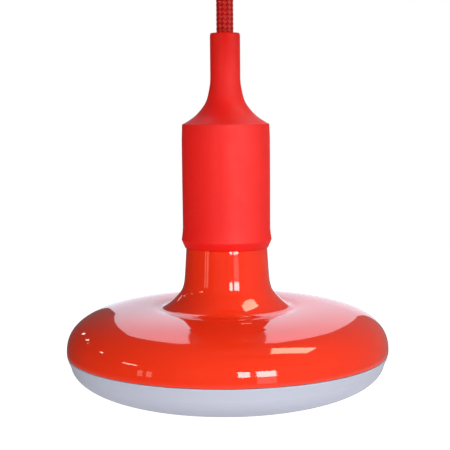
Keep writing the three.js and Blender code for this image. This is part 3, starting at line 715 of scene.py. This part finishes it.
def make_led_engine():
    for number, (x, y) in enumerate(POSTS, 1):
        screw(f"board_screw_{number}", (x, y, SEAM + 2.2), (0, 0, 1), 9, 1.3, 2.8, 1.5, "lamp")
    # routes as (multiple of the lead's own x, y, height above the seam)
    input_route = [(1, -2.6, 78), (1, -3, 70), (1, -3, 62), (1, -2.4, 56), (1, -2.2, 54)]
    output_route = [(1, -2.4, 28), (1, -3, 22), (1.3, -4, 15), (1.8, -5, 9), (2.6, -6.5, 6.4)]
    for name, x, slot, route in (("live_input_lead", -2.4, "brown_pvc", input_route),
                                 ("neutral_input_lead", 2.4, "white_plastic", input_route),
                                 ("red_output_lead", -3, "red_pvc", output_route),
                                 ("black_output_lead", 3, "black_plastic", output_route)):
        shape = tube([(x * out, y, SEAM + h) for out, y, h in route], LEAD_R)
        piece(name + "_fine", *shape, slot, "lamp", (name,))
    can = rounded([[0, 33], [5, 33, 0.5], [5, 50, 0.6], [0, 50]], 5)
    vertices, faces = turned([[r, SEAM + h] for r, h in can], 64)
    place = Vector((-8, 6.2, 0)) * MM
    piece("capacitor_can", [Vector(v) + place for v in vertices], faces, "capacitor_sleeve", "lamp",
          ("smoothing_capacitor",))


def finish_cad_nodes():
    """Gives the CAD solids their materials, and those that stay visible slightly rounded edges."""
    for name, obj in frame["nodes"].items():
        obj.data.materials.clear()
        obj.data.materials.append(materials[SLOT_OF[name]])
        if not obj.hide_render:
            soften(obj, 0.12)


# ---------------------------------------------------------------- stage and light
FLOOR_Z = -1.3
SWEEP_BASE, SWEEP_GLOW, SWEEP_LIMIT = 1.02, 1.25, 2.9  # its radiance is base + glow / distance, up to a limit
LAMP_CENTRE = Vector((0, 0, SEAM * MM))
ROOM_LEFT = (0.03, 0.03, 0.03)
ROOM_RIGHT = (0.30, 0.30, 0.29)
FLOOR_LEFT = (0.55, 0.55, 0.59)
FLOOR_RIGHT = (1.25, 1.25, 1.31)


def toward(azimuth, elevation):
    """A direction: azimuth 0 is straight behind the lamp, 90 to its right, 180 behind the camera."""
    a, e = math.radians(azimuth), math.radians(elevation)
    return Vector((math.sin(a) * math.cos(e), math.cos(a) * math.cos(e), math.sin(e)))


def area_light(name, width, height, radiance, colour):
    """A rectangular light, sized in metres, that is never seen directly."""
    data = bpy.data.lights.new(name, "AREA")
    data.shape = "RECTANGLE"
    data.size, data.size_y = width, height
    data.energy = radiance * math.pi * width * height
    data.color = colour
    light = add_object(name, data)
    light.visible_camera = False
    return light


def panel(name, azimuth, elevation, distance, width, height, radiance, colour=(1, 1, 1), lit="both"):
    """A rectangular light facing the lamp, width and height in degrees as seen from it.

    lit says whether it gives "shade", "gloss" or both.
    """
    sizes = [2 * distance * math.tan(math.radians(angle / 2)) for angle in (width, height)]
    light = area_light(name, *sizes, radiance, colour)
    way = toward(azimuth, elevation)
    light.location = LAMP_CENTRE + way * distance
    light.rotation_euler = way.to_track_quat("Z", "Y").to_euler()
    light.visible_glossy = lit != "shade"
    light.visible_diffuse = lit != "gloss"


def ceiling_panel(name, x, y, width, depth, turn, radiance, colour):
    """A rectangular light one metre above the lamp, shining straight down."""
    light = area_light(name, width, depth, radiance, colour)
    light.location = LAMP_CENTRE + Vector((x, y, 1.0))
    light.rotation_euler = (0, 0, math.radians(turn))


def emitter(name, radiance_from, colour):
    material = bpy.data.materials.new(name)
    material.use_nodes = True
    tree = material.node_tree
    tree.nodes.clear()
    glow = add_node(tree, "ShaderNodeEmission", Color=(*colour, 1))
    out = tree.nodes.new("ShaderNodeOutputMaterial")
    tree.links.new(glow.outputs["Emission"], out.inputs["Surface"])
    radiance_from(tree, glow.inputs["Strength"])
    return material


def make_back_sweep():
    """A glowing paper sweep above and behind the lamp, seen in the gloss. It dims towards its far end.

    It has rounded front corners, widens to the rear and is split down the middle by a narrowing gap.
    """
    front, far, rows = 0.41, 4.4, 60  # where it starts and ends, in metres behind the lamp
    halves = ([], [])
    for i in range(rows + 1):
        y = front + (far - front) * (i / rows) ** 2
        corner = 1 - (1 - min(1, (y - front) / 0.75)) ** 2
        left = 0.27 + 0.30 * corner + 0.065 * max(0, y - 1.2)
        right = 0.26 + 0.30 * corner + 0.19 * max(0, y - 0.9)
        gap = max(0, 0.20 - 0.052 * (y - front)) if y < 2.2 else 0
        halves[0].extend([(-left, y, 1.0), (-gap, y, 1.0)])
        halves[1].extend([(gap, y, 1.0), (right, y, 1.0)])
    halves[0].extend([(-left, far, -0.4), (0, far, -0.4)])
    halves[1].extend([(0, far, -0.4), (right, far, -0.4)])
    vertices = halves[0] + halves[1]
    half = len(halves[0])
    faces = [[i, i + 1, i + 3, i + 2] for side in (0, half) for i in range(side, side + half - 2, 2)]
    mesh = bpy.data.meshes.new("back_sweep")
    mesh.from_pydata([LAMP_CENTRE + Vector(v) for v in vertices], [], faces)

    def fade(tree, strength):
        place = tree.nodes.new("ShaderNodeTexCoord")
        split = tree.nodes.new("ShaderNodeSeparateXYZ")
        tree.links.new(place.outputs["Object"], split.inputs["Vector"])
        source = split.outputs["Y"]
        for operation, swapped, value in (("DIVIDE", True, SWEEP_GLOW), ("ADD", False, SWEEP_BASE),
                                          ("MINIMUM", False, SWEEP_LIMIT)):
            step = tree.nodes.new("ShaderNodeMath")
            step.operation = operation
            step.inputs[0 if swapped else 1].default_value = value
            tree.links.new(source, step.inputs[1 if swapped else 0])
            source = step.outputs["Value"]
        tree.links.new(source, strength)

    mesh.materials.append(emitter("sweep_glow", fade, (0.86, 0.96, 1.10)))
    sweep = add_object("back_sweep", mesh)
    sweep.visible_camera = False
    sweep.visible_diffuse = False
    sweep.visible_shadow = False


def make_flag():
    """A black card that shades the cord and the top of the neck from the window."""
    x0, x1, y, z0, z1 = -0.04, 0.11, -0.13, -0.076, 0.04
    mesh = bpy.data.meshes.new("flag")
    mesh.from_pydata([(x0, y, z0), (x1, y, z0), (x1, y, z1), (x0, y, z1)], [], [[0, 1, 2, 3]])
    mesh.materials.append(surface("black_card", (0.02, 0.02, 0.02), 0.9, relief=0))
    flag = add_object("flag", mesh)
    flag.visible_camera = False


def make_world():
    """White to the camera. For light and reflections a room, dark on the left, with a pale floor."""
    world = bpy.data.worlds.new("studio")
    bpy.context.scene.world = world
    world.use_nodes = True
    tree = world.node_tree
    tree.nodes.clear()
    place = tree.nodes.new("ShaderNodeTexCoord")
    split = tree.nodes.new("ShaderNodeSeparateXYZ")
    tree.links.new(place.outputs["Generated"], split.inputs["Vector"])
    sideways = add_node(tree, "ShaderNodeMapRange", From_Min=-1.0, From_Max=1.0, To_Min=0.0, To_Max=1.0)
    sideways.interpolation_type = "SMOOTHSTEP"
    tree.links.new(split.outputs["X"], sideways.inputs["Value"])
    room = mix_colours(tree, sideways.outputs["Result"], ROOM_LEFT, ROOM_RIGHT)
    floor = mix_colours(tree, sideways.outputs["Result"], FLOOR_LEFT, FLOOR_RIGHT)
    below = add_node(tree, "ShaderNodeMapRange", From_Min=-0.2, From_Max=-0.5, To_Min=0.0, To_Max=1.0)
    tree.links.new(split.outputs["Z"], below.inputs["Value"])
    glow = tree.nodes.new("ShaderNodeBackground")
    tree.links.new(mix_colours(tree, below.outputs["Result"], room, floor), glow.inputs["Color"])
    white = add_node(tree, "ShaderNodeBackground", Color=(1, 1, 1, 1), Strength=1.0)
    ray = tree.nodes.new("ShaderNodeLightPath")
    choose = tree.nodes.new("ShaderNodeMixShader")
    tree.links.new(ray.outputs["Is Camera Ray"], choose.inputs[0])
    tree.links.new(glow.outputs["Background"], choose.inputs[1])
    tree.links.new(white.outputs["Background"], choose.inputs[2])
    out = tree.nodes.new("ShaderNodeOutputWorld")
    tree.links.new(choose.outputs["Shader"], out.inputs["Surface"])


def make_floor():
    size = 9.0
    mesh = bpy.data.meshes.new("studio_floor")
    corners = [(-size, -size, FLOOR_Z), (size, -size, FLOOR_Z), (size, size, FLOOR_Z), (-size, size, FLOOR_Z)]
    mesh.from_pydata(corners, [], [[0, 1, 2, 3]])
    material = surface("pale_floor", (0.93, 0.93, 0.93), 0.8, shade=0.98, relief=0,
                       Emission_Color=(1, 1, 1, 1), Emission_Strength=1.0)
    mesh.materials.append(material)
    floor = add_object("studio_floor", mesh)
    floor.visible_glossy = False
    floor.visible_diffuse = False


def make_lights():
    near, far = 1.6, 3.0  # metres from the lamp
    for name, azimuth, elevation, width in (("left", 169.5, 11.6, 7.6), ("right", 154.6, 11.1, 13)):
        panel(f"window_{name}_gloss", azimuth, elevation, near, width, 17, 17, lit="gloss")
        panel(f"window_{name}_shade", azimuth, elevation, near, width, 25, 1.2, lit="shade")
    panel("window_sill", 154.6, -6, near, 13, 15, 1.6, lit="gloss")
    for name, azimuth, elevation, radiance in (("fill_left", 200, 12, 8.2), ("fill_right", 122, 8, 4.7),
                                               ("back_fill", 5, 10, 8)):
        panel(name, azimuth, elevation, near, 30, 30, radiance, lit="shade")
    ceiling_panel("ceiling_light", 0.525, 0.02, 0.43, 0.31, 10, 10, (1.0, 0.86, 0.62))
    cream = (1.0, 0.93, 0.80)
    far_lamps = ((-33, 17, 2.0, 3.0, 5), (-44, 22, 2.4, 3.2, 6), (-51, 21.5, 1.2, 1.5, 5),
                 (-73, 25, 3.2, 3.0, 9), (-107, 20.5, 12, 2.8, 11), (-119, 2, 4, 14, 2.2),
                 (-126, 2, 4, 14, 2.6))
    for number, (azimuth, elevation, width, height, radiance) in enumerate(far_lamps, 1):
        panel(f"far_lamp_{number}", azimuth, elevation, far, width, height, radiance, cream, "gloss")


make_camera()
materials = make_materials()
make_cords()
make_sleeve()
make_housing()
make_diffuser()
make_ceiling_cup()
make_strap()
make_terminal_block()
make_cup_hardware()
make_holder()
make_cap()
make_led_engine()
finish_cad_nodes()
make_world()
make_floor()
make_back_sweep()
make_flag()
make_lights()

scene = bpy.context.scene
scene.view_settings.view_transform = "Standard"
scene.view_settings.look = "None"
